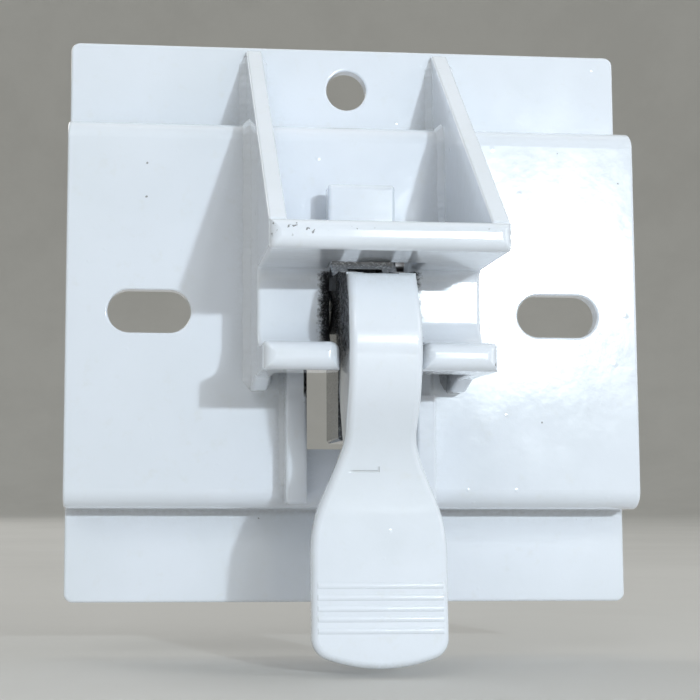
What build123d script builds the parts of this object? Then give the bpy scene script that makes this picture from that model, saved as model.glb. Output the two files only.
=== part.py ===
from build123d import *
import math
import os

os.makedirs("parts", exist_ok=True)

# Stair gate latch in its in-use pose, millimetres.
# +X right, +Z up, the front faces -Y.  The mounting face lies in Y = 0 and
# the origin is the middle of the mounting plate's outline.
# Profiles are given as (d, z): d is the distance in front of the mounting
# face, so y = -d.

# ---------------------------------------------------------------- dimensions
SHEET = 2.2            # mounting plate sheet
PLATE = 88.9           # plate width and height
FLANGE = SHEET         # d of the flanges' front face
RAISE = 8.4            # raised centre above the flanges
WEB = FLANGE + RAISE   # d of the raised face
WEB_Z = 29.9           # half height of the raised face
BEND_IN = 0.8          # inside bend radius
CORNER = 1.4           # plan corner radius of the flanges
HOLE_Z = 37.7          # round hole height
HOLE_R = 3.25
SLOT_X = 31.75         # half the slot spacing
SLOT_R = 3.3
SLOT_L = 12.7

SIDE_X = 16.4          # half width over the side plates and the jaw
SIDE_T = 2.5           # side plate thickness
TIP_Z = 44.4           # upper tip of the gussets

JAW_T = 4.0            # jaw strip thickness
SHELF_BOT = 4.6        # underside of the upper jaw
SHELF_D = FLANGE + 39.0
ROOT_D = FLANGE + 20.8
LIP_TOP = -6.75
LIP_D = FLANGE + 30.9
JAW_SLOT = 5.75        # half width of the slot for the lever
SLOT_TOP_D = FLANGE + 28.5

LEG_IN = 8.2           # guide legs, inner and outer faces
LEG_OUT = 11.3
LEG_D = FLANGE + 13.4
LEG_BOT = -29.3

PIV_D = FLANGE + 13.0  # pivot axis
PIV_Z = -0.5
PIN_R = 2.0
RUN = 0.05             # radial running clearance

LEV_T = 2.4            # lever sheet
EAR_X = 5.0            # half width over the lever's ears
PAD_X = 9.52           # half width of the paddle
PAD_END = -51.6
RIDGES = (-40.3, -41.9, -43.4, -44.8, -46.4)
RIDGE_R = 0.7
RIDGE_H = 0.16
RIDGE_X = 8.7
ARM_X = 5.05
ARM_WALL = 2.45

STOP_D = FLANGE + 9.85
STOP_Z = 7.2
STOP_R = 1.3


# ------------------------------------------------------------------ helpers
def rounded(points, radii):
    """Closed profile face in (u, v) with a radius at each corner."""
    n = len(points)
    starts, ends, mids = [], [], []
    for i in range(n):
        p = Vector(*points[i], 0)
        a = Vector(*points[i - 1], 0)
        b = Vector(*points[(i + 1) % n], 0)
        r = radii[i]
        if r <= 0:
            starts.append(p)
            ends.append(p)
            mids.append(None)
            continue
        da = (a - p).normalized()
        db = (b - p).normalized()
        half = math.acos(max(-1, min(1, da.dot(db)))) / 2
        t = r / math.tan(half)
        s = p + da * t
        e = p + db * t
        c = p + (da + db).normalized() * (r / math.sin(half))
        m = c + (p - c).normalized() * r
        starts.append(s)
        ends.append(e)
        mids.append(m)
    edges = []
    for i in range(n):
        if mids[i] is not None:
            edges.append(Edge.make_three_point_arc(starts[i], mids[i], ends[i]))
        j = (i + 1) % n
        if (ends[i] - starts[j]).length > 1e-6:
            edges.append(Edge.make_line(ends[i], starts[j]))
    return Face(Wire(edges))


def side(points, x0, x1, radii=None):
    """Extrude a (d, z) profile along X from x0 to x1."""
    radii = radii or [0] * len(points)
    face = rounded([(-d, z) for d, z in points], radii)
    plane = Plane(origin=(x0, 0, 0), x_dir=(0, 1, 0), z_dir=(1, 0, 0))
    return Solid.extrude(plane * face, Vector(x1 - x0, 0, 0))


def front(points, d0, d1, radii=None):
    """Extrude an (x, z) outline from d0 to d1 in front of the mounting face."""
    radii = radii or [0] * len(points)
    face = rounded(points, radii)
    plane = Plane(origin=(0, -d0, 0), x_dir=(1, 0, 0), z_dir=(0, -1, 0))
    return Solid.extrude(plane * face, Vector(0, -(d1 - d0), 0))


def cyl_x(r, x0, x1, d, z):
    return Pos((x0 + x1) / 2, -d, z) * Rot(0, 90, 0) * Cylinder(r, x1 - x0)


def cyl_y(r, d0, d1, x, z):
    return Pos(x, -(d0 + d1) / 2, z) * Rot(90, 0, 0) * Cylinder(r, d1 - d0)


def box(x0, x1, d0, d1, z0, z1):
    return Pos((x0 + x1) / 2, -(d0 + d1) / 2, (z0 + z1) / 2) * Box(
        x1 - x0, d1 - d0, z1 - z0
    )


def soften(shape, edges, sizes):
    """Round the edges with the largest of the sizes that works."""
    for r in sizes:
        try:
            out = shape.fillet(r, edges)
            if out.is_valid and out.volume > 0:
                return out
        except Exception:
            pass
    print("left sharp:", len(edges))
    return shape


def one(shape):
    """The single solid of a result."""
    s = shape.solids()
    if len(s) != 1:
        print("solids:", len(s))
        s = sorted(s, key=lambda q: q.volume)
    out = s[-1]
    out.topo_parent = None
    return out


def save(shape, name):
    solids = shape.solids()
    for s in solids:
        if not s.is_valid:
            print("invalid solid in", name)
    out = solids[0] if len(solids) == 1 else Compound(children=solids)
    export_step(out, "parts/%s.step" % name)
    print("%-18s %2d solids %9.2f mm3" % (name, len(solids), out.volume))


# ------------------------------------------------------------ mounting plate
half = PLATE / 2
ri, ro = BEND_IN, BEND_IN + SHEET
hat = side(
    [
        (FLANGE, half), (FLANGE, WEB_Z), (WEB, WEB_Z), (WEB, -WEB_Z),
        (FLANGE, -WEB_Z), (FLANGE, -half), (0, -half), (0, -WEB_Z + SHEET),
        (WEB - SHEET, -WEB_Z + SHEET), (WEB - SHEET, WEB_Z - SHEET),
        (0, WEB_Z - SHEET), (0, half),
    ],
    -half, half,
    [0, ri, ro, ro, ri, 0, 0, ro, ri, ri, ro, 0],
)
hat = one(hat)
# plan corners of the four flange ends
corners = [
    e for e in hat.edges().filter_by(Axis.Y)
    if abs(abs(e.center().Z) - half) < 0.01 and abs(abs(e.center().X) - half) < 0.01
]
hat = soften(hat, corners, [CORNER, 1.0])
cut = cyl_y(HOLE_R, -1, WEB + 1, 0, HOLE_Z)
for sx in (-1, 1):
    cx = sx * SLOT_X
    o = SLOT_L / 2 - SLOT_R
    cut = cut + box(cx - o, cx + o, WEB - SHEET - 1, WEB + 1, -SLOT_R, SLOT_R)
    cut = cut + cyl_y(SLOT_R, WEB - SHEET - 1, WEB + 1, cx - o, 0)
    cut = cut + cyl_y(SLOT_R, WEB - SHEET - 1, WEB + 1, cx + o, 0)
# window that lets the lever's arm swing through the raised face
window = front(
    [(-LEG_IN, -20.9), (LEG_IN, -20.9), (LEG_IN, -3.0), (-LEG_IN, -3.0)],
    WEB - SHEET - 1, WEB + 1, [0.8] * 4,
)
hat = one(hat - cut - window)
outer = [
    e for e in hat.edges()
    if abs(abs(e.center().X) - half) < 0.02
    or abs(abs(e.center().Z) - half) < 0.02
]
hat = soften(hat, outer, [0.45, 0.35, 0.25])
hat = one(hat)
# rounded lips of the holes on the front
rims = [
    e for e in hat.edges()
    if (
        abs(e.center().Y + WEB) < 0.01
        and 20 < abs(e.center().X) < 40
        and abs(e.center().Z) < 4
    )
    or (
        abs(e.center().Y + FLANGE) < 0.01
        and abs(e.center().X) < 4
        and abs(e.center().Z - HOLE_Z) < 4
    )
]
hat = soften(hat, rims, [0.35, 0.25])
base_plate = one(hat)
save(base_plate, "base_plate")

# ------------------------------------------------------------------ jaw strip
shelf_top = SHELF_BOT + JAW_T
lip_bot = LIP_TOP - JAW_T
back_d = ROOT_D - JAW_T
jaw = side(
    [
        (SHELF_D, shelf_top), (SHELF_D, SHELF_BOT), (ROOT_D, SHELF_BOT),
        (ROOT_D, LIP_TOP), (LIP_D, LIP_TOP), (LIP_D, lip_bot),
        (back_d, lip_bot), (back_d, shelf_top),
    ],
    -SIDE_X, SIDE_X,
    [0, 0, 1.5, 4.0, 0, 0, 4.0 + JAW_T, 1.5 + JAW_T],
)
jaw = one(jaw)
slot_cut = box(-JAW_SLOT, JAW_SLOT, 0, SLOT_TOP_D, -20, 20) + box(
    -JAW_SLOT, JAW_SLOT, 0, LIP_D + 5, -20, 0
)
jaw = one(jaw - slot_cut)
# bullnosed front edges and rounded ends
nose = [
    e for e in jaw.edges()
    if abs(e.center().Y + SHELF_D) < 0.01 and abs(abs(e.center().X)) < SIDE_X + 1
]
jaw = soften(jaw, nose, [1.55, 1.35, 1.1, 0.8])
jaw = one(jaw)
nose = [e for e in jaw.edges() if abs(e.center().Y + LIP_D) < 0.01]
jaw = soften(jaw, nose, [1.7, 1.5, 1.25, 1.0, 0.7])
jaw = one(jaw)
slot_rim = [
    e for e in jaw.edges()
    if abs(abs(e.center().X) - JAW_SLOT) < 0.01
    and abs(e.center().Y + ROOT_D) < 0.6
    and -7.0 < e.center().Z < 4.6
]
jaw = soften(jaw, slot_rim, [1.3, 1.0, 0.7])
jaw = one(jaw)
ends = [
    e for e in jaw.edges()
    if abs(abs(e.center().X) - SIDE_X) < 0.01
    and -e.center().Y < SHELF_D - 1.5
    and -e.center().Y > ROOT_D - 0.5
    and (SHELF_BOT + 0.05 > e.center().Z > LIP_TOP - 0.05)
]
jaw = soften(jaw, ends, [0.6, 0.4])
jaw_strip = one(jaw)
save(jaw_strip, "jaw_strip")

# ---------------------------------------------------------------- side plates
R_BOT = 4.0 + JAW_T
R_TOP = 1.5 + JAW_T
gap = 0.02
side_pts = [
    (FLANGE, TIP_Z), (FLANGE, WEB_Z + 1.2), (FLANGE + 1.2, WEB_Z + gap),
    (WEB, WEB_Z + gap), (WEB, -12.2), (WEB + 3.2, -12.2),
    (WEB + 7.8, lip_bot), (LIP_D - 4.2, lip_bot),
]
side_rad = [0.6, 0, 0, 0, 0, 1.0, 0, 0]
blank = side(
    side_pts + [(LIP_D - 4.2, 0), (SHELF_D - 1.2, shelf_top)],
    0, SIDE_T, side_rad + [0, 0.5],
)
# everything that the jaw strip fills is cut away
jaw_keep = side(
    [
        (SHELF_D + 5, shelf_top), (SHELF_D + 5, lip_bot - 0.0),
        (back_d, lip_bot), (back_d, shelf_top),
    ],
    -1, SIDE_T + 1,
    [0, 0, R_BOT, R_TOP],
)
blank = one(blank - jaw_keep)
slant = [
    e for e in blank.edges()
    if e.length > 30
    and e.center().Z > 15
    and abs(e.bounding_box().max.Z - e.bounding_box().min.Z) > 20
    and abs(e.bounding_box().max.Y - e.bounding_box().min.Y) > 20
]
blank = soften(blank, slant, [0.5, 0.35])
blank = one(blank)
low = [
    e for e in blank.edges()
    if e.center().Z < lip_bot + 0.1
    and e.center().Z > -12.3
    and -e.center().Y > WEB + 1
    and e.length > 1.2
    and (abs(e.center().X) < 0.01 or abs(e.center().X - SIDE_T) < 0.01)
]
blank = soften(blank, low, [0.5, 0.35])
blank = one(blank)
left_side = Pos(-SIDE_X, 0, 0) * blank
right_side = Pos(SIDE_X - SIDE_T, 0, 0) * blank
save(left_side, "left_side_plate")
save(right_side, "right_side_plate")

# ----------------------------------------------------------------- guide legs
leg_pts = [
    (WEB, -28.3), (WEB - 0.9, LEG_BOT), (LEG_D, LEG_BOT), (LEG_D, -9.4),
    (back_d - 0.1, -5.0), (back_d - 0.1, 3.0), (FLANGE + 14.2, 9.6), (WEB, 9.6),
]
leg = side(leg_pts, 0, LEG_OUT - LEG_IN, [0, 0, 0.5, 1.0, 0.8, 1.0, 1.5, 0])
left_leg = one(Pos(-LEG_OUT, 0, 0) * leg)
right_leg = one(Pos(LEG_IN, 0, 0) * leg)
bores = cyl_x(PIN_R + 0.01, -20, 20, PIV_D, PIV_Z) + cyl_x(
    STOP_R + 0.01, -20, 20, STOP_D, STOP_Z
)
left_leg = one(left_leg - bores)
right_leg = one(right_leg - bores)
# relief notch in the front edge of the right leg
right_leg = one(right_leg - box(LEG_IN - 1, LEG_OUT + 1, WEB + 1.1, LEG_D + 1, -12.9, -9.4))


def leg_fronts(s):
    return [
        e for e in s.edges()
        if abs(e.center().Y + LEG_D) < 0.01 and e.length > 3.5
    ]


left_leg = one(soften(left_leg, leg_fronts(left_leg), [0.55, 0.4]))
right_leg = one(soften(right_leg, leg_fronts(right_leg), [0.55, 0.4]))
save(left_leg, "left_guide_leg")
save(right_leg, "right_guide_leg")


# --------------------------------------------------------------- weld beads
def bead(x, s, leg_mm, z0, z1, d0):
    """Triangular fillet bead at x, on the side s, standing on d0."""
    pts = [(x, d0), (x + s * leg_mm, d0), (x + s * leg_mm * 0.42, d0 + leg_mm * 0.42 + 0.12), (x, d0 + leg_mm)]
    face = Face(Wire.make_polygon([Vector(px, -pd, z0) for px, pd in pts], close=True))
    return Solid.extrude(face, Vector(0, 0, z1 - z0))


def wall_bead(x, s, leg_mm, d0, d1):
    z = WEB_Z
    pts = [(x, z), (x + s * leg_mm, z), (x + s * leg_mm * 0.42, z + leg_mm * 0.42 + 0.12), (x, z + leg_mm)]
    face = Face(Wire.make_polygon([Vector(px, -d0, pz) for px, pz in pts], close=True))
    return Solid.extrude(face, Vector(0, -(d1 - d0), 0))


def plate_weld(x, s):
    a = bead(x, s, 1.0, -11.9, WEB_Z - ro + 0.4, WEB)
    c = bead(x, s, 1.0, WEB_Z + BEND_IN + 0.2, TIP_Z - 0.5, FLANGE)
    b = wall_bead(x, s, 1.0, FLANGE + BEND_IN + 0.2, WEB - ro + 0.4)
    return a, b, c


for name, x, s in (
    ("left_weld_outer", -SIDE_X, -1), ("left_weld_inner", -SIDE_X + SIDE_T, 1),
    ("right_weld_outer", SIDE_X, 1), ("right_weld_inner", SIDE_X - SIDE_T, -1),
):
    a, b, c = plate_weld(x, s)
    save(Compound(children=[one(a), one(c)]), name)
save(one(bead(-LEG_OUT, -1, 0.6, -26.6, 8.8, WEB)), "left_leg_weld")
save(one(bead(LEG_OUT, 1, 0.6, -26.6, 8.8, WEB)), "right_leg_weld")

# ---------------------------------------------------------------------- lever
# front surface of the lever as (height above the flanges, z)
LEV_FRONT = [
    (31.3, 2.95), (32.5, 0.6), (33.4, -1.6), (34.25, -4.2), (34.6, -7.0),
    (34.4, -10.2), (33.7, -13.1), (32.75, -15.3), (31.4, -17.6),
    (30.2, -19.8), (29.1, -22.4), (28.4, -25.2), (28.05, -28.4),
    (28.0, -31.8), (28.1, -36.0), (28.3, -41.0), (28.5, -46.0), (28.6, PAD_END - 1.0),
]
fpts = [Vector(0, -(FLANGE + h), z) for h, z in LEV_FRONT]
front_curve = Edge.make_spline(fpts)
n_s = 40
back_pts = []
for i in range(n_s + 1):
    u = i / n_s
    p = front_curve.position_at(u)
    t = front_curve.tangent_at(u)
    nrm = Vector(0, -t.Z, t.Y)
    if nrm.Y < 0:
        nrm = nrm * -1
    back_pts.append(p + nrm.normalized() * LEV_T)
back_curve = Edge.make_spline(back_pts)
band_face = Face(Wire([
    front_curve,
    Edge.make_line(front_curve.position_at(1), back_curve.position_at(1)),
    back_curve,
    Edge.make_line(back_curve.position_at(0), front_curve.position_at(0)),
]))
band = Solid.extrude(Pos(-15, 0, 0) * band_face, Vector(30, 0, 0))
# outline seen from the front: neck, flare and paddle
half_w = [
    (4.75, 4.2), (4.86, 0.0), (EAR_X, -5.0), (EAR_X, -12.0), (4.95, -17.5), (5.0, -20.4),
    (5.75, -23.0), (6.95, -26.0), (8.15, -28.8), (9.05, -31.6), (9.45, -34.2), (PAD_X, -37.5),
]
right_pts = [Vector(x, 0, z) for x, z in half_w]
left_pts = [Vector(-x, 0, z) for x, z in half_w]
# rounded end of the paddle: a shallow arc between two corner radii
PAD_R = 22.0
PAD_C = 3.0
arc_c = PAD_END + PAD_R
# corner circle: tangent to the side and inside the end arc
cx = PAD_X - PAD_C
cz = arc_c - math.sqrt((PAD_R - PAD_C) ** 2 - cx ** 2)
touch = Vector(cx, 0, cz - arc_c).normalized()
tx, tz = cx + PAD_C * touch.X, cz + PAD_C * touch.Z
mid_dir = (Vector(1, 0, 0) + Vector(touch.X, 0, touch.Z)).normalized()
mx, mz = cx + PAD_C * mid_dir.X, cz + PAD_C * mid_dir.Z
r_edge = Edge.make_spline(right_pts)
l_edge = Edge.make_spline(left_pts)
out_edges = [
    Edge.make_line(left_pts[0], right_pts[0]),
    r_edge,
    Edge.make_line(right_pts[-1], Vector(PAD_X, 0, cz)),
    Edge.make_three_point_arc(Vector(PAD_X, 0, cz), Vector(mx, 0, mz), Vector(tx, 0, tz)),
    Edge.make_three_point_arc(Vector(tx, 0, tz), Vector(0, 0, PAD_END), Vector(-tx, 0, tz)),
    Edge.make_three_point_arc(Vector(-tx, 0, tz), Vector(-mx, 0, mz), Vector(-PAD_X, 0, cz)),
    Edge.make_line(Vector(-PAD_X, 0, cz), left_pts[-1]),
    l_edge,
]
outline = Face(Wire(out_edges))
plan = Solid.extrude(outline, Vector(0, -60, 0))
sheet = one(band & plan)
big = sorted(sheet.faces(), key=lambda f: f.area)[-2:]
fore = min(big, key=lambda f: f.center().Y)
aft = max(big, key=lambda f: f.center().Y)
sheet = one(soften(sheet, fore.edges(), [0.95, 0.8, 0.6, 0.4]))
big = sorted(sheet.faces(), key=lambda f: f.area)[-2:]
aft = max(big, key=lambda f: f.center().Y)
sheet = one(soften(sheet, aft.edges(), [0.5, 0.35, 0.25]))
# low grip ridges across the end of the paddle
for z in RIDGES:
    u = min(
        (abs(front_curve.position_at(k / 400).Z - z), k / 400) for k in range(401)
    )[1]
    p = front_curve.position_at(u)
    rib = cyl_x(RIDGE_R, -RIDGE_X, RIDGE_X, -p.Y - RIDGE_R + RIDGE_H, z)
    sheet = one(sheet + rib)
# ears: profile behind the front sheet
EAR_REAR = [(22.9, 4.2), (24.0, 0.0), (24.0, -7.0), (23.1, -13.5), (26.9, -21.6)]
ear_prof = [
    Vector(0, -(FLANGE + h), z)
    for h, z in [(30.3, 2.8), (27.5, 3.2)] + EAR_REAR
]
mid_pts = []
for i in range(0, n_s + 1):
    u = i / n_s
    p = front_curve.position_at(u)
    t = front_curve.tangent_at(u)
    nrm = Vector(0, -t.Z, t.Y)
    if nrm.Y < 0:
        nrm = nrm * -1
    q = p + nrm.normalized() * (LEV_T * 0.45)
    if -21.8 < q.Z < 2.6:
        mid_pts.append(q)
ear_wire = Wire.make_polygon(ear_prof + mid_pts[::-1], close=True)
ear_face = Face(ear_wire)
ear_l = Solid.extrude(Pos(-EAR_X + 0.12, 0, 0) * ear_face, Vector(LEV_T, 0, 0))
ear_r = Solid.extrude(Pos(EAR_X - 0.12 - LEV_T, 0, 0) * ear_face, Vector(LEV_T, 0, 0))
lever = one(sheet + ear_l + ear_r)
save(lever, "lever")

# ----------------------------------------------------------------- tongue arm
arm_pts = [
    (FLANGE + 11.0, -20.2), (FLANGE + 23.2, -20.2), (FLANGE + 23.1, -13.5),
    (FLANGE + 24.0, -7.0), (FLANGE + 24.0, 0.0), (FLANGE + 22.9, 4.2),
    (FLANGE + 18.0, 4.4), (FLANGE + 14.5, 7.0), (FLANGE + 14.5, 18.95),
    (FLANGE + 11.3, 18.95), (FLANGE + 11.3, 2.0), (FLANGE + 9.4, 0.6),
    (FLANGE + 9.4, -2.4), (FLANGE + 11.0, -4.4),
]
arm_pts = [(min(d, 999), z) for d, z in arm_pts]
arm = one(side(arm_pts, -ARM_X, ARM_X, [0.6, 0, 0, 0, 0, 0, 1.0, 2.5, 0.9, 0.5, 1.0, 1.0, 1.0, 1.0]))
inn = ARM_X - ARM_WALL
pocket = (
    box(-inn, inn, FLANGE + 5, FLANGE + 19.0, -25, 5.6)
    + box(-inn, inn, FLANGE + 21.4, FLANGE + 30, -25, 5.6)
    + box(-inn, inn, FLANGE + 18.5, FLANGE + 22, -6.0, 5.6)
)
arm = one(arm - pocket)
arm = one(arm - cyl_x(PIN_R + RUN, -20, 20, PIV_D, PIV_Z))
tongue_edges = [
    e for e in arm.edges()
    if e.length > 9 and abs(abs(e.center().X) - ARM_X) < 0.01
    and abs(e.center().Y + FLANGE + 14.5) < 0.01 and e.center().Z > 7
]
arm = one(soften(arm, tongue_edges, [0.5, 0.35]))
save(arm, "tongue_arm")

# ------------------------------------------------------------- pivot hardware
pin = cyl_x(PIN_R, -LEG_OUT, LEG_OUT + 1.6, PIV_D, PIV_Z)
head = cyl_x(3.2, -LEG_OUT - 1.2, -LEG_OUT, PIV_D, PIV_Z)
groove = cyl_x(PIN_R + 1, LEG_OUT + 0.62, LEG_OUT + 1.24, PIV_D, PIV_Z) - cyl_x(
    1.45, LEG_OUT + 0.5, LEG_OUT + 1.4, PIV_D, PIV_Z
)
pin = one(pin + head - groove)
save(pin, "pivot_pin")
washer = cyl_x(3.7, LEG_OUT, LEG_OUT + 0.58, PIV_D, PIV_Z) - cyl_x(
    PIN_R + 0.05, LEG_OUT - 1, LEG_OUT + 2, PIV_D, PIV_Z
)
save(one(washer), "pin_washer")
clip = cyl_x(3.4, LEG_OUT + 0.66, LEG_OUT + 1.2, PIV_D, PIV_Z) - cyl_x(
    1.5, LEG_OUT, LEG_OUT + 3, PIV_D, PIV_Z
)
clip = clip - box(LEG_OUT, LEG_OUT + 3, PIV_D - 1.15, PIV_D + 1.15, PIV_Z - 5, PIV_Z)
save(one(clip), "pin_clip")
for name, s in (("left_bush", -1), ("right_bush", 1)):
    a, b = sorted((s * (ARM_X + 0.3), s * LEG_IN))
    bush = cyl_x(3.3, a, b, PIV_D, PIV_Z) - cyl_x(PIN_R + 0.03, a - 1, b + 1, PIV_D, PIV_Z)
    save(one(bush), name)
save(one(cyl_x(STOP_R, -LEG_OUT, LEG_OUT, STOP_D, STOP_Z)), "stop_pin")

# ------------------------------------------------------------- torsion spring
WIRE = 0.42
COIL_R = 2.95
PITCH = 0.98
TURNS = 3.5
coil_len = PITCH * TURNS
helix = Edge.make_helix(pitch=PITCH, height=coil_len, radius=COIL_R)
start = helix.position_at(0)
tan = helix.tangent_at(0)
prof = Face(Wire.make_circle(WIRE, Plane(origin=start, z_dir=tan)))
coil = Solid.sweep(prof, Wire([helix]), is_frenet=True)
coil = Pos(-coil_len / 2, -PIV_D, PIV_Z) * Rot(90, 0, 0) * Rot(0, 90, 0) * coil


def rod(p, q, r):
    p, q = Vector(*p), Vector(*q)
    return Solid.extrude(Face(Wire.make_circle(r, Plane(origin=p, z_dir=(q - p)))), q - p)


x0 = -coil_len / 2
x1 = coil_len / 2
p0 = (x0, -PIV_D + COIL_R, PIV_Z)
p1 = (x1, -PIV_D - COIL_R, PIV_Z)
leg_a = rod(p0, (x0, -(WEB + WIRE + 0.05), 4.9), WIRE)
leg_b = rod(p1, (x1, -(FLANGE + 18.4), -9.0), WIRE)
ball_a = Pos(*p0) * Sphere(WIRE * 1.02)
ball_b = Pos(*p1) * Sphere(WIRE * 1.02)
spring = coil + leg_a + leg_b + ball_a + ball_b
save(one(spring), "torsion_spring")
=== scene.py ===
"""Looks for the stair gate latch: materials, weld beads, floor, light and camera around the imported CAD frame."""
import math

import bmesh
import bpy
from mathutils import Matrix, Vector


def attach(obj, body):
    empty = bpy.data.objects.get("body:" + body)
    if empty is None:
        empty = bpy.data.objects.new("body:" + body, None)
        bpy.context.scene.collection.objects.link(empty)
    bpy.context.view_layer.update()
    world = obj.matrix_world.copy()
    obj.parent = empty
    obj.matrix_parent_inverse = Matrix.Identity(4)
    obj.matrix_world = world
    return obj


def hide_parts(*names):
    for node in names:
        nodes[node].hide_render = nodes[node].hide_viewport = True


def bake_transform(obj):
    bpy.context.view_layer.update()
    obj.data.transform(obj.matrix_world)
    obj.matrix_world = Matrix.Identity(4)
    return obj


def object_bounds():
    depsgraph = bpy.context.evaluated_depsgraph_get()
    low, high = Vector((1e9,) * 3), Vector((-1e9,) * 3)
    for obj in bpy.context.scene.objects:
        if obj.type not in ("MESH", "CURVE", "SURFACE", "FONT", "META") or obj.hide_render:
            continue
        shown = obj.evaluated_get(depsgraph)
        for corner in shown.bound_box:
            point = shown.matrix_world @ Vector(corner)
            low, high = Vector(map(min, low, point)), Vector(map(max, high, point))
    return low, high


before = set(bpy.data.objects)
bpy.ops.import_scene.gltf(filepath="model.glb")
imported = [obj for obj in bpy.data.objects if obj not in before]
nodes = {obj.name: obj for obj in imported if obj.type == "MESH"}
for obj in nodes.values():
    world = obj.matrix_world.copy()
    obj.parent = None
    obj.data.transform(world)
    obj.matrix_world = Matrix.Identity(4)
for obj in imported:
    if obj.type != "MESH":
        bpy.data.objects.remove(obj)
cad_box = [list(c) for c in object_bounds()]
scene = bpy.context.scene
MM = 0.001


# ------------------------------------------------------------ node shortcuts
class Mat:
    """A node material with short calls for the nodes that these finishes use."""

    def __init__(self, name):
        self.m = bpy.data.materials.new(name)
        self.m.use_nodes = True
        self.t = self.m.node_tree
        self.bsdf = self.t.nodes["Principled BSDF"]
        self.co = self.t.nodes.new("ShaderNodeTexCoord").outputs["Object"]

    def link(self, a, b):
        self.t.links.new(a, b)

    def sep(self):
        n = self.t.nodes.new("ShaderNodeSeparateXYZ")
        self.link(self.co, n.inputs[0])
        return n.outputs

    def noise(self, scale, detail=3.0, rough=0.5, distortion=0.0, co=None):
        n = self.t.nodes.new("ShaderNodeTexNoise")
        n.inputs["Scale"].default_value = scale
        n.inputs["Detail"].default_value = detail
        n.inputs["Roughness"].default_value = rough
        n.inputs["Distortion"].default_value = distortion
        self.link(co or self.co, n.inputs["Vector"])
        return n.outputs["Fac"]

    def cells(self, scale, feature="F1", out="Distance", rand=1.0):
        n = self.t.nodes.new("ShaderNodeTexVoronoi")
        n.feature = feature
        n.inputs["Scale"].default_value = scale
        n.inputs["Randomness"].default_value = rand
        self.link(self.co, n.inputs["Vector"])
        return n.outputs[out]

    def stretched(self, sx, sy, sz):
        n = self.t.nodes.new("ShaderNodeMapping")
        n.inputs["Scale"].default_value = (sx, sy, sz)
        self.link(self.co, n.inputs["Vector"])
        return n.outputs[0]

    def math(self, op, a, b=None, c=None, clamp=False):
        n = self.t.nodes.new("ShaderNodeMath")
        n.operation = op
        n.use_clamp = clamp
        for i, v in enumerate((a, b, c)):
            if v is None:
                continue
            if isinstance(v, (int, float)):
                n.inputs[i].default_value = v
            else:
                self.link(v, n.inputs[i])
        return n.outputs[0]

    def span(self, v, lo, hi, out_lo=0.0, out_hi=1.0, smooth=True):
        n = self.t.nodes.new("ShaderNodeMapRange")
        n.interpolation_type = "SMOOTHSTEP" if smooth else "LINEAR"
        n.clamp = True
        self.link(v, n.inputs[0])
        for i, x in enumerate((lo, hi, out_lo, out_hi)):
            n.inputs[i + 1].default_value = x
        return n.outputs[0]

    def mix(self, fac, a, b):
        n = self.t.nodes.new("ShaderNodeMix")
        n.data_type = "RGBA"
        self.link(fac, n.inputs[0])
        for i, v in ((6, a), (7, b)):
            if isinstance(v, tuple):
                n.inputs[i].default_value = (*v, 1)
            else:
                self.link(v, n.inputs[i])
        return n.outputs[2]

    def bump(self, height, distance, strength=1.0, normal=None):
        n = self.t.nodes.new("ShaderNodeBump")
        n.inputs["Strength"].default_value = strength
        n.inputs["Distance"].default_value = distance
        self.link(height, n.inputs["Height"])
        if normal is not None:
            self.link(normal, n.inputs["Normal"])
        return n.outputs[0]

    def slopes(self):
        """The surface's own normal in object space, as three sockets."""
        g = self.t.nodes.new("ShaderNodeTexCoord")
        n = self.t.nodes.new("ShaderNodeSeparateXYZ")
        self.link(g.outputs["Normal"], n.inputs[0])
        return n.outputs

    def hollow(self, reach):
        """1 on open faces, falling to 0 deep in corners and recesses."""
        n = self.t.nodes.new("ShaderNodeAmbientOcclusion")
        n.samples = 8
        n.inputs["Distance"].default_value = reach
        return n.outputs["AO"]


WHITE = (0.832, 0.877, 0.955)
COOL = (0.79, 0.838, 0.905)
# grey for the painted shade in corners and recesses
CORNER_SHADE_GREY = (0.55, 0.575, 0.575)
BARE = (0.035, 0.037, 0.042)
OXIDE = (0.11, 0.085, 0.065)


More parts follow.
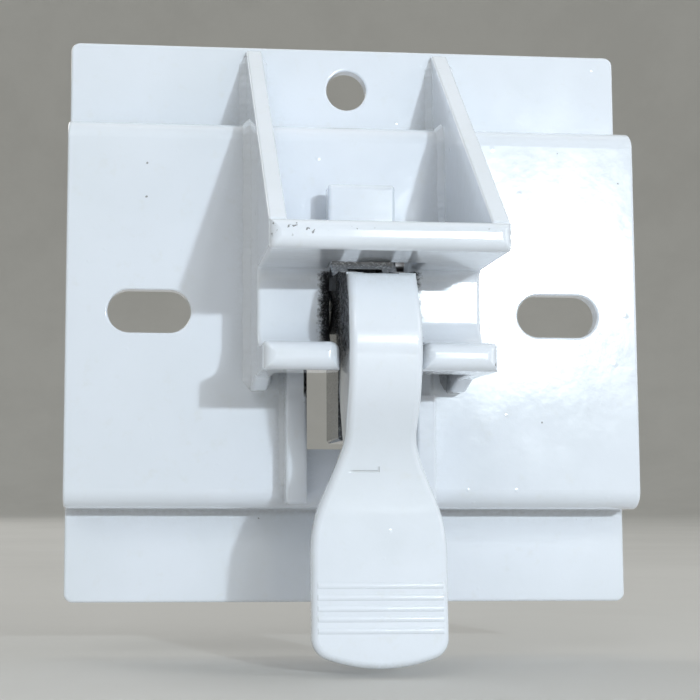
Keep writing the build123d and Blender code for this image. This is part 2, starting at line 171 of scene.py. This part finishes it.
def coated(name, bare_mask=None, seed=0.0, ripple=False, marks=None, dust=0.80):
    """Glossy white powder coat: orange peel, nibs, specks, painted shade greying corners and recesses (partly standing
    for a thinner coat there), chipped edges and other dark marks from marks, and bare steel where bare_mask says.
    """
    m = Mat(name)
    m.bsdf.inputs["Coat Weight"].default_value = 1.0
    m.bsdf.inputs["Coat Roughness"].default_value = 0.055
    m.bsdf.inputs["IOR"].default_value = 1.5

    # broad and fine unevenness of the white
    cloud = m.noise(38 + seed, 3, 0.55)
    fine = m.noise(420 + seed * 7, 4, 0.6)
    base = m.mix(m.span(cloud, 0.35, 0.68), WHITE, COOL)
    base = m.mix(m.span(fine, 0.55, 0.8, 0, 0.35), base, (0.76, 0.785, 0.795))

    # painted shade: the colour greys deep in corners and under the shelf, where ambient occlusion finds them; partly it
    # stands for a thinner, duller coat there, which also raises roughness
    open_face = m.hollow(0.006)
    corner = m.span(open_face, 0.30, 0.85, 1, 0)
    grain = m.noise(1500, 3, 0.7)
    corner_shade_and_dull = m.math("MULTIPLY", corner, m.span(grain, 0.3, 0.75, 0.12, 0.6))
    base = m.mix(corner_shade_and_dull, base, CORNER_SHADE_GREY)

    # faint warm smudges
    smudge = m.math("MULTIPLY", m.span(m.noise(95 + seed, 5, 0.65, 0.6), 0.60, 0.80), 0.07)
    base = m.mix(smudge, base, (0.68, 0.655, 0.61))

    # dark specks: one cell in some dozens holds a small ragged pit
    pit_d = m.math("ADD", m.cells(310), m.math("MULTIPLY", m.math("SUBTRACT", m.noise(2600, 2, 0.7), 0.5), 0.16))
    sepc = m.t.nodes.new("ShaderNodeSeparateColor")
    m.link(m.cells(310, out="Color"), sepc.inputs[0])
    chosen = m.math("GREATER_THAN", sepc.outputs[0], 0.955)
    size = m.span(m.math("POWER", sepc.outputs[1], 3.0), 0, 1, 0.02, 0.11, smooth=False)
    pit = m.math("MULTIPLY", chosen, m.math("LESS_THAN", pit_d, size))
    base = m.mix(m.math("MULTIPLY", pit, 0.7), base, (0.13, 0.125, 0.12))

    # raised dust nibs under the coat, of two sizes
    nib = None
    for scale, share, reach, out in ((190, dust, 0.11, 1), (520, 0.93, 0.20, 2)):
        sepn = m.t.nodes.new("ShaderNodeSeparateColor")
        m.link(m.cells(scale, out="Color"), sepn.inputs[0])
        one = m.math("MULTIPLY", m.math("GREATER_THAN", sepn.outputs[out], share),
                     m.span(m.cells(scale), 0.0, reach, 1, 0))
        nib = one if nib is None else m.math("ADD", nib, one)

    rough = m.span(m.noise(160 + seed, 4, 0.6), 0.3, 0.75, 0.135, 0.205)
    rough = m.math("ADD", rough, m.math("MULTIPLY", corner_shade_and_dull, 0.35))
    rough = m.math("ADD", rough, m.math("MULTIPLY", pit, 0.3), clamp=True)

    peel = m.noise(820 + seed, 2, 0.5)
    wave = m.noise(260 + seed, 2, 0.5)
    height = m.math("ADD", m.math("MULTIPLY", peel, 0.50), m.math("MULTIPLY", wave, 0.55))
    height = m.math("ADD", height, m.math("MULTIPLY", nib, 1.1))
    height = m.math("SUBTRACT", height, m.math("MULTIPLY", pit, 1.2))
    if ripple:
        height = m.math("ADD", height, m.math("MULTIPLY", m.noise(1500, 3, 0.6), 0.5))
    if marks is not None:
        cut, dark_mark = marks(m)
        # the second mark darkens the colour: chips, and on the plate also painted shade along its crease
        base = m.mix(m.math("MULTIPLY", dark_mark, 0.75), base, (0.10, 0.095, 0.095))
        base = m.mix(m.math("MULTIPLY", cut, 0.35), base, (0.45, 0.46, 0.47))
        height = m.math("SUBTRACT", height, m.math("MULTIPLY", cut, 3.0))
        height = m.math("SUBTRACT", height, m.math("MULTIPLY", dark_mark, 1.6))
        rough = m.math("ADD", rough, m.math("MULTIPLY", dark_mark, 0.3), clamp=True)
    metal = None
    if bare_mask is not None:
        bare = bare_mask(m)
        steel = m.mix(m.span(m.noise(700, 4, 0.6), 0.45, 0.7), BARE, (0.085, 0.088, 0.095))
        steel = m.mix(m.span(m.noise(210, 4, 0.65), 0.58, 0.75, 0, 0.6), steel, OXIDE)
        overspray = m.math("MULTIPLY", m.span(m.noise(2400, 3, 0.7), 0.50, 0.66), 0.5)
        steel = m.mix(overspray, steel, (0.42, 0.44, 0.45))
        base = m.mix(bare, base, steel)
        rough = m.math("ADD", rough, m.math("MULTIPLY", bare, 0.22), clamp=True)
        height = m.math("SUBTRACT", height, m.math("MULTIPLY", bare, 1.0))
        metal = m.math("MULTIPLY", bare, 0.6)
    m.link(base, m.bsdf.inputs["Base Color"])
    m.link(rough, m.bsdf.inputs["Roughness"])
    if metal is not None:
        m.link(metal, m.bsdf.inputs["Metallic"])
    bump = m.bump(height, 0.00003)
    m.link(bump, m.bsdf.inputs["Normal"])
    soft = m.math("ADD", m.math("MULTIPLY", peel, 0.35), m.math("MULTIPLY", wave, 0.6))
    soft = m.math("ADD", soft, m.math("MULTIPLY", nib, 1.1))
    m.link(m.bump(soft, 0.00002), m.bsdf.inputs["Coat Normal"])
    return m.m


def ragged(m, level, scale=1500, spread=0.45, soft=0.10):
    """Turns a smooth 0..1 level into a speckled edge, as where spray thins out."""
    grain = m.noise(scale, 4, 0.75)
    x = m.math("ADD", level, m.math("MULTIPLY", m.math("SUBTRACT", grain, 0.5), spread))
    return m.span(x, 0.5 - soft, 0.5 + soft)


def arm_bare(m):
    """The arm is coated on its outer end, above the jaw, and bare inside."""
    x, y, z = m.sep()[:3]
    return ragged(m, m.span(z, 0.0105, 0.0055), spread=0.7)


def jaw_bare(m):
    """The coat fades out round the jaw's slot, and under the shelf behind the lever."""
    x, y, z = m.sep()[:3]
    near = m.span(m.math("ABSOLUTE", x), 0.0088, 0.0058)
    deep = m.span(y, -0.0300, -0.0262)
    low = m.span(z, 0.0050, 0.0040)
    return ragged(m, m.math("MULTIPLY", m.math("MULTIPLY", near, deep), low), spread=1.3, soft=0.22)


def jaw_marks(m):
    """Small chips along the upper front edge of the shelf, densest towards its left."""
    x, y, z = m.sep()[:3]
    edge = m.math("MULTIPLY", m.span(y, -0.0400, -0.0408), m.span(z, 0.0058, 0.0066))
    edge = m.math("MULTIPLY", edge, m.span(z, 0.0082, 0.0078))
    left = m.span(x, 0.004, -0.014, 0.02, 0.13)
    dark_mark = m.math("GREATER_THAN", m.math("ADD", m.noise(1150, 3, 0.6), left), 0.755)
    none = m.math("MULTIPLY", edge, 0.0)
    return none, m.math("MULTIPLY", edge, dark_mark)


def plate_marks(m):
    """Painted shade along the crease under the raised face, partly grime and thin coat, and a few chips on the lower
    flange's upper edge.
    """
    x, y, z = m.sep()[:3]
    # painted shade: the crease under the raised face is darkened, broken up with noise like grime
    crease = m.span(m.math("ABSOLUTE", m.math("ADD", z, 0.0303)), 0.0009, 0.0)
    crease = m.math("MULTIPLY", crease, m.span(y, -0.0048, -0.0030))
    crease_shade = m.math("MULTIPLY", crease, m.span(m.noise(1300, 4, 0.7), 0.30, 0.70, 0.22, 0.46))
    lower = m.math("MULTIPLY", m.span(m.math("ABSOLUTE", m.math("ADD", z, 0.0318)), 0.0011, 0.0006), m.math("LESS_THAN", y, -0.0020))
    dark_mark = m.math("MULTIPLY", lower, m.math("GREATER_THAN", m.noise(1000, 3, 0.6), 0.735))
    none = m.math("MULTIPLY", dark_mark, 0.0)
    return none, m.math("MAXIMUM", crease_shade, dark_mark)


def corner_marks(m):
    """A darker, speckled patch low in the pocket, where the right side plate meets the raised face."""
    x, y, z = m.sep()[:3]
    side = m.span(m.math("ABSOLUTE", m.math("SUBTRACT", x, 0.0134)), 0.0018, 0.0009)
    deep = m.math("MULTIPLY", m.span(y, -0.0165, -0.0130), m.span(z, 0.0150, 0.0095))
    level = m.math("MULTIPLY", side, deep)
    patch = ragged(m, m.math("MULTIPLY", level, 0.62), scale=900, spread=1.1, soft=0.2)
    none = m.math("MULTIPLY", patch, 0.0)
    return none, m.math("MULTIPLY", patch, 0.75)


def lever_marks(m):
    """One shallow nick across the lever under its neck."""
    x, y, z = m.sep()[:3]
    line = m.span(m.math("ABSOLUTE", m.math("SUBTRACT", z, -0.02465)), 0.00018, 0.00006)
    reach = m.math("MULTIPLY", m.span(x, -0.0045, -0.0036), m.span(x, -0.00005, -0.00025))
    up = m.span(m.math("ABSOLUTE", m.math("ADD", x, 0.00022)), 0.00016, 0.00006)
    tall = m.math("MULTIPLY", m.math("GREATER_THAN", z, -0.0247), m.math("LESS_THAN", z, -0.0240))
    front = m.span(y, -0.0285, -0.0295)
    cut = m.math("MAXIMUM", m.math("MULTIPLY", line, reach), m.math("MULTIPLY", up, tall))
    cut = m.math("MULTIPLY", cut, front)
    dark_mark = m.math("MULTIPLY", cut, 0.0)
    return cut, dark_mark


def lever_bare(m):
    """The lever is bare on its inner faces near the pivot."""
    x, y, z = m.sep()[:3]
    nx, ny, nz = m.slopes()[:3]
    back = m.span(ny, -0.35, 0.25)
    high = m.span(z, -0.0125, -0.0070)
    return ragged(m, m.math("MULTIPLY", back, high), spread=1.1, soft=0.2)


def leg_bare(m):
    """Legs are coated outside and only thinly on the faces that look at the arm."""
    x, y, z = m.sep()[:3]
    nx, ny, nz = m.slopes()[:3]
    inward = m.math("GREATER_THAN", m.math("MULTIPLY", m.math("MULTIPLY", nx, x), -1000.0), 0.0)
    high = m.span(z, -0.020, -0.008)
    return ragged(m, m.math("MULTIPLY", m.math("MULTIPLY", inward, high), 0.8), spread=0.8)


def steel(name, colour, rough_lo, rough_hi, axis, dark=0.5):
    """Plated or spring steel: turning marks round the axis, and dull, darker patches."""
    m = Mat(name)
    m.bsdf.inputs["Metallic"].default_value = 1.0
    s = [45.0, 45.0, 45.0]
    s[axis] = 2600.0
    lines = m.noise(1.0, 3, 0.6, co=m.stretched(*s))
    patch = m.noise(260, 4, 0.6)
    darkc = tuple(c * dark for c in colour)
    base = m.mix(m.span(patch, 0.4, 0.7), colour, darkc)
    base = m.mix(m.span(m.noise(900, 4, 0.7), 0.66, 0.8, 0, 0.7), base, (0.16, 0.09, 0.05))
    m.link(base, m.bsdf.inputs["Base Color"])
    m.link(m.span(m.noise(500, 3, 0.6), 0.3, 0.7, rough_lo, rough_hi), m.bsdf.inputs["Roughness"])
    m.link(m.bump(lines, 0.00001), m.bsdf.inputs["Normal"])
    return m.m


def nylon(name):
    m = Mat(name)
    base = m.mix(m.span(m.noise(500, 3, 0.6), 0.35, 0.7), (0.018, 0.018, 0.019), (0.045, 0.045, 0.047))
    m.link(base, m.bsdf.inputs["Base Color"])
    m.link(m.span(m.noise(800, 3, 0.6), 0.3, 0.7, 0.42, 0.6), m.bsdf.inputs["Roughness"])
    m.link(m.bump(m.noise(2600, 3, 0.6), 0.00002), m.bsdf.inputs["Normal"])
    return m.m


# --------------------------------------------------------------- CAD finishes
plate_mat = coated("coat_plate", None, seed=0, marks=plate_marks, dust=0.72)
jaw_mat = coated("coat_jaw", jaw_bare, seed=3, marks=jaw_marks)
side_mat = coated("coat_side", None, seed=5, marks=corner_marks)
leg_mat = coated("coat_leg", leg_bare, seed=8)
lever_mat = coated("coat_lever", lever_bare, seed=11, marks=lever_marks, dust=0.93)
arm_mat = coated("coat_arm", arm_bare, seed=13)
weld_mat = coated("coat_weld", None, seed=17, ripple=True, marks=corner_marks)
pin_mat = steel("plated_steel_turned", (0.62, 0.61, 0.59), 0.20, 0.36, 0)
spring_mat = steel("spring_steel_dark", (0.26, 0.25, 0.25), 0.28, 0.45, 0, 0.6)
bush_mat = nylon("nylon_black")

finishes = {
    "base_plate": plate_mat, "jaw_strip": jaw_mat,
    "left_side_plate": side_mat, "right_side_plate": side_mat,
    "left_guide_leg": leg_mat, "right_guide_leg": leg_mat,
    "lever": lever_mat, "tongue_arm": arm_mat,
    # the stop pin takes the dark spring steel so it shows dark in its recess: painted shade
    "pivot_pin": pin_mat, "pin_washer": pin_mat, "stop_pin": spring_mat,
    "pin_clip": spring_mat, "torsion_spring": spring_mat,
    "left_bush": bush_mat, "right_bush": bush_mat,
}
for name, material in finishes.items():
    o = nodes[name]
    for i in range(max(1, len(o.material_slots))):
        if len(o.material_slots) == 0:
            o.data.materials.append(material)
        else:
            o.material_slots[i].material = material


# -------------------------------------------------------------------- spring
# The coil winds along the pin. Its mesh is copied into an object of its own with the transform baked in, and the CAD
# spring is hidden.
coil_mesh = nodes["torsion_spring"].data.copy()
coil_mesh.name = "torsion_spring_wound"
wound = bpy.data.objects.new("torsion_spring_wound", coil_mesh)
scene.collection.objects.link(wound)
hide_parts("torsion_spring")
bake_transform(wound)


# ---------------------------------------------------------------- weld beads
def profile_path(parts, step=0.16):
    """Points (d, z) and outward normals along the plate's front face, in mm."""
    out = []
    for kind, *a in parts:
        if kind == "line":
            (d0, z0), (d1, z1), n = a
            count = max(2, int(math.dist((d0, z0), (d1, z1)) / step))
            for i in range(count):
                t = i / count
                out.append(((d0 + (d1 - d0) * t, z0 + (z1 - z0) * t), n))
        else:
            (dc, zc), r, a0, a1, s = a
            count = max(4, int(abs(math.radians(a1 - a0)) * r / step))
            for i in range(count):
                w = math.radians(a0 + (a1 - a0) * i / count)
                out.append(((dc + r * math.cos(w), zc + r * math.sin(w)), (s * math.cos(w), s * math.sin(w))))
    return out


def weld(name, x, side, path, leg, phase):
    """A rippled fillet bead along path, in the corner between the plate and the face at x. side is the way it spreads."""
    bm = bmesh.new()
    rings = []
    total = len(path)
    run = 0.0
    last = None
    n_arc = 9
    for k, ((d, z), (nd, nz)) in enumerate(path):
        if last is not None:
            run += math.dist(last, (d, z))
        last = (d, z)
        end = min(k, total - 1 - k) * 0.16
        taper = min(1.0, 0.25 + end / 1.6)
        slow = 1 + 0.07 * math.sin(run * 0.71 + phase) + 0.05 * math.sin(run * 1.93 + phase * 2.1)
        ring = []
        for j in range(n_arc):
            t = j / (n_arc - 1)
            crescent = run * (2 * math.pi / 1.25) + phase - 2.1 * (1 - (2 * t - 1) ** 2)
            rip = (0.022 + 0.012 * math.sin(run * 0.37 + phase)) * math.sin(crescent + 0.6 * math.sin(crescent) + 0.9 * math.sin(run * 1.1)) * math.sin(math.pi * t) ** 0.5
            r = leg * taper * slow
            bulge = 0.10 * r * math.sin(math.pi * t) + rip * taper
            u = r * (1 - t) ** 1.15 + bulge * 0.707 - 0.04 * t
            v = r * t ** 1.15 + bulge * 0.707 - 0.04 * (1 - t)
            ring.append((u, v))
        ring += [(-0.5, leg * taper * 0.9), (-0.5, -0.5), (leg * taper * 0.9, -0.5)]
        rings.append([bm.verts.new(Vector((x + side * u, -(d + nd * v), z + nz * v)) * MM) for u, v in ring])
    count = len(rings[0])
    for a, b in zip(rings, rings[1:]):
        for i in range(count):
            j = (i + 1) % count
            bm.faces.new((a[i], a[j], b[j], b[i]))
    bm.faces.new(rings[0])
    bm.faces.new(list(reversed(rings[-1])))
    bmesh.ops.recalc_face_normals(bm, faces=bm.faces)
    mesh = bpy.data.meshes.new(name + "_bead")
    bm.to_mesh(mesh)
    bm.free()
    for p in mesh.polygons:
        p.use_smooth = len(p.vertices) == 4
    o = bpy.data.objects.new(name + "_bead", mesh)
    scene.collection.objects.link(o)
    mesh.materials.append(weld_mat)
    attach(o, "plate")
    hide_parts(name)
    return o


WEB, FLANGE, WEB_Z = 10.6, 2.2, 29.9
plate_run = profile_path([
    ("line", (WEB, -11.7), (WEB, WEB_Z - 3.0), (1, 0)),
    ("arc", (WEB - 3.0, WEB_Z - 3.0), 3.0, 0, 90, 1),
    ("line", (WEB - 3.0, WEB_Z), (FLANGE + 1.9, WEB_Z), (0, 1)),
    ("arc", (FLANGE + 1.9, WEB_Z + 1.9), 1.9, 270, 180, -1),
    ("line", (FLANGE, WEB_Z + 1.9), (FLANGE, 43.0), (1, 0)),
])
leg_run = profile_path([("line", (WEB, -26.4), (WEB, 8.6), (1, 0))])
weld("left_weld_outer", -16.4, -1, plate_run, 1.15, 0.3)
weld("left_weld_inner", -13.9, 1, plate_run, 1.0, 1.9)
weld("right_weld_outer", 16.4, 1, plate_run, 1.15, 3.1)
weld("right_weld_inner", 13.9, -1, plate_run, 1.0, 4.4)
weld("left_leg_weld", -11.3, -1, leg_run, 0.7, 0.9)
weld("right_leg_weld", 11.3, 1, leg_run, 0.7, 2.6)


# ----------------------------------------------------------- floor and light
def sweep_floor():
    """A pale round floor under the object, which curves up to a low wall far away on every side."""
    z0, flat, radius, top = cad_box[0][2] - 0.0012, 3.0, 1.0, 1.9
    line = [(0.25, z0), (0.7, z0), (1.4, z0), (2.2, z0), (flat, z0)]
    for i in range(1, 13):
        w = math.pi / 2 * i / 12
        line.append((flat + radius * math.sin(w), z0 + radius * (1 - math.cos(w))))
    line.append((flat + radius, top))
    bm = bmesh.new()
    count = 72
    middle = bm.verts.new((0, 0, z0))
    rows = [
        [bm.verts.new((r * math.cos(2 * math.pi * k / count), r * math.sin(2 * math.pi * k / count), z)) for k in range(count)]
        for r, z in line
    ]
    for k in range(count):
        bm.faces.new((middle, rows[0][k], rows[0][(k + 1) % count]))
        for a, b in zip(rows, rows[1:]):
            bm.faces.new((a[k], b[k], b[(k + 1) % count], a[(k + 1) % count]))
    mesh = bpy.data.meshes.new("floor_sheet")
    bm.to_mesh(mesh)
    bm.free()
    for p in mesh.polygons:
        p.use_smooth = True
    o = bpy.data.objects.new("floor_sheet", mesh)
    scene.collection.objects.link(o)
    m = Mat("floor_pale")
    base = m.mix(m.span(m.noise(6, 4, 0.6), 0.35, 0.7), (0.70, 0.685, 0.66), (0.665, 0.65, 0.625))
    m.link(base, m.bsdf.inputs["Base Color"])
    m.link(m.span(m.noise(60, 3, 0.6), 0.3, 0.7, 0.75, 0.9), m.bsdf.inputs["Roughness"])
    m.link(m.bump(m.noise(900, 3, 0.6), 0.00004), m.bsdf.inputs["Normal"])
    mesh.materials.append(m.m)


sweep_floor()


def area(name, at, towards, power, size, size_y=None, colour=(1, 1, 1)):
    light = bpy.data.lights.new(name, "AREA")
    light.energy = power
    light.color = colour
    light.shape = "RECTANGLE" if size_y else "DISK"
    light.size = size
    if size_y:
        light.size_y = size_y
    o = bpy.data.objects.new(name, light)
    scene.collection.objects.link(o)
    o.location = at
    o.rotation_mode = "QUATERNION"
    o.rotation_quaternion = (Vector(at) - Vector(towards)).to_track_quat("Z", "Y")
    return o


area("key", (0.232, -0.71, 0.118), (0, 0, 0), 1.68, 0.026, colour=(0.82, 0.93, 1.0))
area("strip", (0.200, -0.720, 0.122), (0, 0, 0), 0.80, 0.14, 0.006, colour=(0.90, 0.96, 1.0))
area("soft_front", (-0.55, -1.15, 0.75), (0, 0, 0), 2.4, 0.8, 0.6, colour=(0.95, 0.98, 1.0))
area("soft_right", (1.15, -0.55, 0.45), (0, 0, 0), 1.8, 0.5, 0.8, colour=(1.0, 0.98, 0.98))
area("soft_back", (-0.9, 1.2, 0.9), (0, 0, 0), 5.0, 0.8, 0.8, colour=(1.0, 0.99, 0.98))
area("soft_top", (0.1, 0.15, 1.25), (0, 0, 0), 1.0, 0.9, 0.9, colour=(1.0, 0.985, 0.985))

world = bpy.data.worlds.new("studio")
world.use_nodes = True
world.node_tree.nodes["Background"].inputs["Color"].default_value = (0.955, 0.985, 0.96, 1)
world.node_tree.nodes["Background"].inputs["Strength"].default_value = 0.50
scene.world = world
scene.view_settings.view_transform = "Standard"
scene.view_settings.look = "None"

# --------------------------------------------------------------------- camera
cam = bpy.data.cameras.new("camera")
cam.sensor_width = 36.0
cam.lens = 72.265
cam.shift_x = 0.15
cam.shift_y = 0.02
cam.clip_start = 0.01
cam.clip_end = 30.0
camera = bpy.data.objects.new("camera", cam)
scene.collection.objects.link(camera)
right, up, back = (0.996541, -0.083069, 0.002411), (-0.010547, -0.09764, 0.995166), (-0.082432, -0.991749, -0.098178)
turn = Matrix((right, up, back)).transposed()
camera.matrix_world = Matrix.Translation(Vector((-34.77, -223.01, -28.99)) * MM) @ turn.to_4x4()
scene.camera = camera
